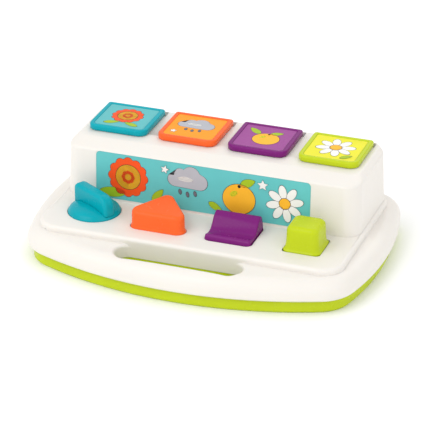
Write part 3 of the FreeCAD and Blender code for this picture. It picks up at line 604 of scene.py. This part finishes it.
def triangleButton():
    s = triangleSettings
    front = controlRow - s["depth"] / 2 + s["shift"]
    slope = (s["backRise"] - s["frontRise"]) / s["depth"]
    column = columns[1]
    rings = []
    for inset, z in ((0, -buttonDepth), (0, 0.4), (0.25, 1.1), (0.8, 1.7), (1.1, 3.2)):
        rings.append([(x, y, deckTop + z) for x, y in triangleRing(inset, column)])
    for inset, drop in quarter(1.3, 0.0, s["round"]):
        rings.append([(x, y, deckTop + s["frontRise"] + slope * (y - front) + drop)
                      for x, y in triangleRing(inset, column)])
    crown = ringStack("triangle_top", rings, "orange", 50)
    whole = join("triangle_crown", [crown, underPart("triangle_button", underTop, "orange")])
    settle(whole, "triangle", "orange_plastic", "triangle_button")


cubeSettings = {"foot": 36.0, "side": 31.5, "corner": 6.5, "rise": 24.0, "round": 5.0}


def squareRing(column, half, corner):
    return roundedRing(column - half, column + half, controlRow - half, controlRow + half, corner, corner,
                       10)


def cubeButton():
    s = cubeSettings
    column = columns[3]
    foot = s["foot"] / 2
    half = s["side"] / 2
    rings = []
    walls = ((foot, -buttonDepth), (foot, 0.6), (foot - 0.5, 1.4), (foot - 1.3, 2.4), (half + 0.45, 4.6),
             (half + 0.1, 8.0), (half - 0.1, 14.0))
    for side, z in walls:
        rings.append([(x, y, deckTop + z) for x, y in squareRing(column, side, s["corner"])])
    for inset, z in quarter(0.4, s["rise"], s["round"], 8):
        corner = max(s["corner"] - inset * 0.75, 1.2)
        rings.append([(x, y, deckTop + z) for x, y in squareRing(column, half - inset, corner)])
    crown = ringStack("cube_top", rings, "lime", 50)
    whole = join("cube_crown", [crown, underPart("cube_button", underTop, "lime")])
    settle(whole, "cube", "lime_plastic", "cube_button")


keySettings = {"width": 44.5, "depth": 41.0, "lip": 4.6, "ridge": 15.5, "round": 3.6, "under": 4.8,
               "cut": 4.6}


# Smooth run of points through the given ones, tangent to their neighbours
def curveThrough(points, steps):
    run = []
    last = len(points) - 1
    for i in range(last):
        a = points[max(i - 1, 0)]
        b, c = points[i], points[i + 1]
        d = points[min(i + 2, last)]
        for k in range(steps):
            t = k / steps
            point = []
            for j in (0, 1):
                rise = (c[j] - a[j]) * t
                bend = (2 * a[j] - 5 * b[j] + 4 * c[j] - d[j]) * t * t
                twist = (3 * b[j] - a[j] - 3 * c[j] + d[j]) * t ** 3
                point.append(0.5 * (2 * b[j] + rise + bend + twist))
            run.append(tuple(point))
    run.append(points[-1])
    return run


def rockerKey():
    s = keySettings
    front = controlRow - s["depth"] / 2
    back = controlRow + s["depth"] / 2
    lip, ridge = s["lip"], s["ridge"]
    top = [(front, -1.5), (front + 0.7, 0.7), (front + 1.5, 2.9), (front + 3.2, lip),
           (front + 5.2, lip - 0.2), (front + 7.6, 3.5), (front + 12, 3.2), (front + 17, 3.9),
           (front + 21.5, 7.2), (front + 26, 12.2), (back - 10.5, ridge - 0.7), (back - 8.3, ridge),
           (back - 5.8, ridge - 0.9), (back - 3.8, ridge - 3.6), (back - 1.8, 5.0), (back - 0.8, 0.0)]
    profile = curveThrough(top, 5)
    profile = [(y, deckTop + z) for y, z in profile]
    profile += [(back - 1.4, deckTop - s["under"]), (front, deckTop - s["under"])]
    half = s["width"] / 2
    rings = [[(x, y, z) for y, z in profile] for x in (columns[2] - half, columns[2] + half)]
    key = ringStack("rocker_top", rings, "purple", 40)
    roundEdges(key, s["round"], 5)
    whole = join("rocker_crown", [key, underPart("rocker_key", deckTop - s["cut"], "purple")])
    settle(whole, "rocker", "purple_plastic", "rocker_key")


dialSettings = {"radius": 25.1, "sink": 5.6, "edge": 1.2, "crown": 7.0, "rim": 1.0, "rimRise": 0.8,
                "finHeight": 22.5, "finThick": 12.4, "finShort": 0.9, "finFall": 1.0, "heel": 5.5,
                "nose": 11.5, "finTurn": -30.0, "shift": 1.4, "round": 3.4}


def dialKnob():
    s = dialSettings
    column = columns[0]
    middle = controlRow + s["shift"]
    rings = []
    radius, edge = s["radius"], s["edge"]
    dome = radius - s["rim"]
    profile = [(radius, -s["sink"]), (radius, edge - 0.6), (radius - 0.3, edge + 0.1),
               (dome, edge + s["rimRise"])]
    for i in range(1, 9):
        turn = i / 8 * math.pi / 2
        profile.append((dome * math.cos(turn * 0.97),
                        edge + s["rimRise"] + (s["crown"] - s["rimRise"]) * math.sin(turn)))
    for radius, z in profile:
        rings.append([(column + x, middle + y, deckTop + z) for x, y in circle(0, 0, radius, 72)])
    disc = ringStack("dial_disc", rings, "teal", 50)
    end = s["radius"] - s["finShort"]
    top = s["finHeight"]
    outline = [(end, 0.5)]
    outline += arcPoints(end - s["nose"], top - s["finFall"] - s["nose"], s["nose"], 0, 88, 12)
    outline += arcPoints(-end + s["heel"], top - s["heel"], s["heel"], 90, 180, 8) + [(-end, 0.5)]
    outline.reverse()
    half = s["finThick"] / 2
    turned = Matrix.Translation(Vector((column, middle, deckTop)) * mm)
    turned = turned @ Matrix.Rotation(math.radians(s["finTurn"]), 4, "Z")
    rings = [[(x, y, z) for x, z in outline] for y in (half, -half)]
    fin = ringStack("dial_fin", rings, "teal", 40)
    fin.data.transform(turned)
    roundEdges(fin, s["round"], 6)
    whole = join("dial_crown", [disc, fin, underPart("dial_knob", deckTop - s["sink"] + 0.2, "teal")])
    settle(whole, "dial", "teal_plastic", "dial_knob")


triangleButton()
cubeButton()
rockerKey()
dialKnob()
print("controls")


# Pop up figures under the lids

def ball(name, centre, radii, material, turn=0.0):
    work = bmesh.new()
    bmesh.ops.create_uvsphere(work, u_segments=24, v_segments=14, radius=1)
    mesh = bpy.data.meshes.new(name)
    work.to_mesh(mesh)
    work.free()
    size = Matrix.Diagonal(Vector((*[r * mm for r in radii], 1)))
    place = Matrix.Translation(Vector(centre) * mm) @ Matrix.Rotation(math.radians(turn), 4, "Z")
    mesh.transform(place @ size)
    return finishMesh(name, mesh, material)


figureSettings = {"depth": 14.0, "voxel": 0.55, "smooth": 6, "light": "paperPlastic"}
figureKinds = {
    "cat": {"main": "honeyPlastic", "slot": "figure_yellow", "head": 11.5, "brow": 1.8,
            "ear": (7.6, 4.4, 4.0), "earSize": (3.4, 4.2, 2.8), "earTurn": -22},
    "rabbit": {"main": "greyPlastic", "slot": "figure_grey", "head": 9.5, "brow": 8.5,
               "ear": (5.2, 8.2, 3.8), "earSize": (3.0, 8.0, 2.8), "earTurn": -4},
    "mouse": {"main": "greyPlastic", "slot": "figure_grey", "head": 11.5, "brow": 1.8,
              "ear": (10.0, 6.6, 3.8), "earSize": (6.2, 6.2, 2.8), "earTurn": 0},
    "frog": {"main": "frogPlastic", "slot": "figure_green", "head": 11.5, "brow": 1.8,
             "ear": (8.0, 5.0, 3.8), "earSize": (4.2, 4.2, 2.8), "earTurn": 0},
}


def figureFor(tone, animal, column):
    kind = figureKinds[animal]
    main, light = kind["main"], figureSettings["light"]
    low, high = [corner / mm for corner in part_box("figure_" + animal)]
    base, feet, top = high.z, high.y, low.y
    radius = kind["head"]
    middle = top + radius + kind["brow"]
    deep = figureSettings["depth"]
    parts = [ball("head", (column, middle, base - deep * 0.5), (radius, radius * 0.94, deep * 0.47), main),
             ball("body", (column, feet - 8.2, base - deep * 0.46), (12.2, 8.0, deep * 0.42), main)]
    out, down, under = kind["ear"]
    for side in (-1, 1):
        hand = (column + side * 10.0, feet - 11.5, base - deep * 0.62)
        toe = (column + side * 6.2, feet - 3.6, base - deep * 0.7)
        tip = (column + side * out, top + down, base - under)
        parts.append(ball("arm", hand, (3.0, 5.0, 3.2), main, side * 24))
        parts.append(ball("foot", toe, (3.6, 3.2, 3.6), main))
        parts.append(ball("ear", tip, kind["earSize"], main, side * kind["earTurn"]))
    skin = join("figure_" + animal + "_skin", parts)
    bpy.context.view_layer.objects.active = skin
    remesh = skin.modifiers.new("one skin", "REMESH")
    remesh.mode = "VOXEL"
    remesh.voxel_size = figureSettings["voxel"] * mm
    remesh.use_smooth_shade = True
    even = skin.modifiers.new("even", "SMOOTH")
    even.iterations = figureSettings["smooth"]
    even.factor = 0.5
    graph = bpy.context.evaluated_depsgraph_get()
    mesh = bpy.data.meshes.new_from_object(skin.evaluated_get(graph))
    mesh.materials.clear()
    bpy.data.objects.remove(skin)
    skin = finishMesh("figure_" + animal + "_skin", mesh, main, 180)
    face = base - deep * 0.93
    details = [ball("muzzle", (column, middle + 3.6, face + 1.3), (4.6, 3.4, 2.0), light),
               ball("nose", (column, middle + 2.0, face - 0.3), (1.4, 1.0, 0.7), "inkPlastic"),
               ball("belly", (column, feet - 8.4, base - deep * 0.84), (6.6, 5.0, 1.1), light)]
    for side in (-1, 1):
        eye = (column + side * 3.9, middle - 2.2, face + 1.0)
        details.append(ball("eye", eye, (1.1, 1.4, 0.8), "inkPlastic"))
    whole = join("figure_" + animal + "_whole", [skin] + details)
    settle(whole, "lid_" + tone + "_group", kind["slot"], "figure_" + animal)


for (tone, animal), column in zip(lidKinds, columns):
    figureFor(tone, animal, column)
print("figures")


# Materials of the CAD nodes that stay as they are

kept = {"base_screws": "steel", "catch_shaft": "steel", "lid_hinge_pins": "steel", "rocker_pin": "steel",
        "triangle_spring": "steel", "cube_spring": "steel", "dial_cam_screw": "steel", "dial_cam": "white"}
for tone, animal in lidKinds:
    kept["catch_lever_" + tone] = "white"
for node, look in kept.items():
    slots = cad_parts[node].material_slots
    for slotItem in slots:
        slotItem.material = looks[look]
print("kept nodes", len(kept))


# Floor, light and camera

def stageFloor():
    floor = bpy.data.meshes.new("table")
    floor.from_pydata([(-4, -4, 0), (4, -4, 0), (4, 6, 0), (-4, 6, 0)], [], [[0, 1, 2, 3]])
    surface = bpy.data.materials.new("table_white")
    surface.use_nodes = True
    shader = surface.node_tree.nodes["Principled BSDF"]
    shader.inputs["Base Color"].default_value = (1, 1, 1, 1)
    shader.inputs["Roughness"].default_value = 0.9
    shader.inputs["Specular IOR Level"].default_value = 0.0
    floor.materials.append(surface)
    table = bpy.data.objects.new("table", floor)
    bpy.context.scene.collection.objects.link(table)


lightSettings = {
    "world": 0.86,
    "lamps": [
        ("window", (-0.9, -1.1, 1.5), 1.3, 11.0),
        ("fill", (1.4, -0.9, 0.9), 1.2, 4.0),
        ("strip", (-0.25, -1.5, 1.5), 0.22, 2.6),
        ("back", (0.2, 1.4, 1.3), 1.4, 5.0),
    ],
    "aim": (0.0, 0.0, 0.04),
}


def lightRoom():
    world = bpy.data.worlds.new("room")
    bpy.context.scene.world = world
    world.use_nodes = True
    tree = world.node_tree
    tree.nodes.clear()
    out = tree.nodes.new("ShaderNodeOutputWorld")
    mix = tree.nodes.new("ShaderNodeMixShader")
    soft = tree.nodes.new("ShaderNodeBackground")
    plain = tree.nodes.new("ShaderNodeBackground")
    soft.inputs["Strength"].default_value = lightSettings["world"]
    plain.inputs["Color"].default_value = (1, 1, 1, 1)
    plain.inputs["Strength"].default_value = 1.0
    rays = tree.nodes.new("ShaderNodeLightPath")
    soft.inputs["Color"].default_value = (1, 1, 1, 1)
    tree.links.new(rays.outputs["Is Camera Ray"], mix.inputs["Fac"])
    tree.links.new(soft.outputs["Background"], mix.inputs[1])
    tree.links.new(plain.outputs["Background"], mix.inputs[2])
    tree.links.new(mix.outputs["Shader"], out.inputs["Surface"])
    for name, spot, size, power in lightSettings["lamps"]:
        lamp = bpy.data.lights.new(name, "AREA")
        lamp.size = size
        lamp.energy = power
        holder = bpy.data.objects.new(name, lamp)
        holder.location = spot
        holder.rotation_mode = "QUATERNION"
        holder.rotation_quaternion = (Vector(lightSettings["aim"]) - Vector(spot)).to_track_quat("-Z", "Y")
        bpy.context.scene.collection.objects.link(holder)


cameraSettings = {"place": (0.7149, -1.9820, 1.0901), "look": (-0.302, 0.8419, -0.4472), "lens": 209.3,
                  "sensor": 36.0, "size": 430}


def setCamera():
    s = cameraSettings
    camera = bpy.data.cameras.new("camera")
    camera.lens = s["lens"]
    camera.sensor_width = s["sensor"]
    camera.clip_start = 0.1
    camera.clip_end = 20
    holder = bpy.data.objects.new("camera", camera)
    holder.location = s["place"]
    holder.rotation_mode = "QUATERNION"
    holder.rotation_quaternion = Vector(s["look"]).to_track_quat("-Z", "Y")
    bpy.context.scene.collection.objects.link(holder)
    scene = bpy.context.scene
    scene.camera = holder
    scene.render.engine = "CYCLES"
    scene.render.resolution_x = s["size"]
    scene.render.resolution_y = s["size"]
    scene.render.resolution_percentage = 100
    scene.view_settings.view_transform = "Standard"
    scene.cycles.samples = 160
    scene.cycles.use_denoising = True


stageFloor()
lightRoom()
setCamera()
print("room and camera")
